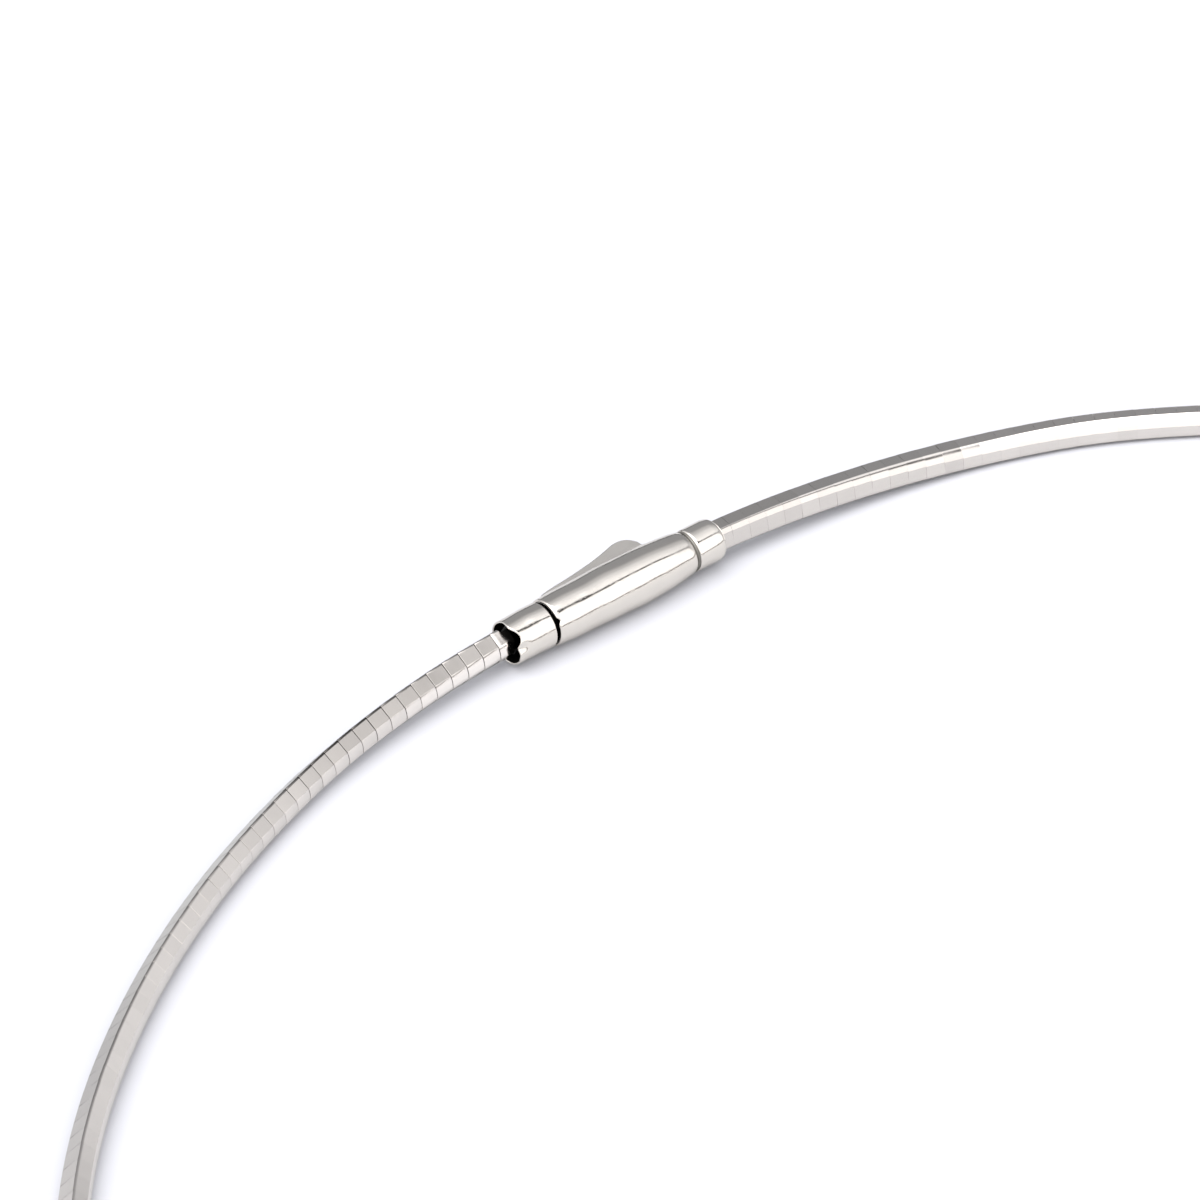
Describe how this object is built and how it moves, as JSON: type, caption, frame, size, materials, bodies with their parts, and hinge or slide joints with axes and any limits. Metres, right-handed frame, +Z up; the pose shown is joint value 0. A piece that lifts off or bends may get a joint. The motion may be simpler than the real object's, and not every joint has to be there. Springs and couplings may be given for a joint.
{
  "type": "omega necklace",
  "caption": "Omega necklace lying in a closed oval: close set rigid metal plates, joined by a barrel clasp with a side lever.",
  "frame": {"origin": "middle of the outline, on the floor that the necklace lies on", "axes": "+X along the oval's long axis, towards the collar's side; +Y towards the clasp; +Z up"},
  "size_m": [0.1418, 0.1192, 0.0034],
  "materials": {
    "plates": "polished white metal",
    "clasp": "polished white metal",
    "pin": "drawn wire"
  },
  "bodies": {
    "necklace": {"chain": "plates", "end_cap": "clasp", "barrel": "clasp", "hinge_pin": "pin"},
    "lever": {"lever": "clasp"}
  },
  "joints": [
    {"name": "lever_press", "type": "hinge", "parent": "necklace", "child": "lever", "pos_m": [-0.00509, 0.05696, 0.0017], "axis": [0, 0, 1], "range_deg": [-8, 0], "stiffness_Nm_per_rad": 0.15}
  ]
}
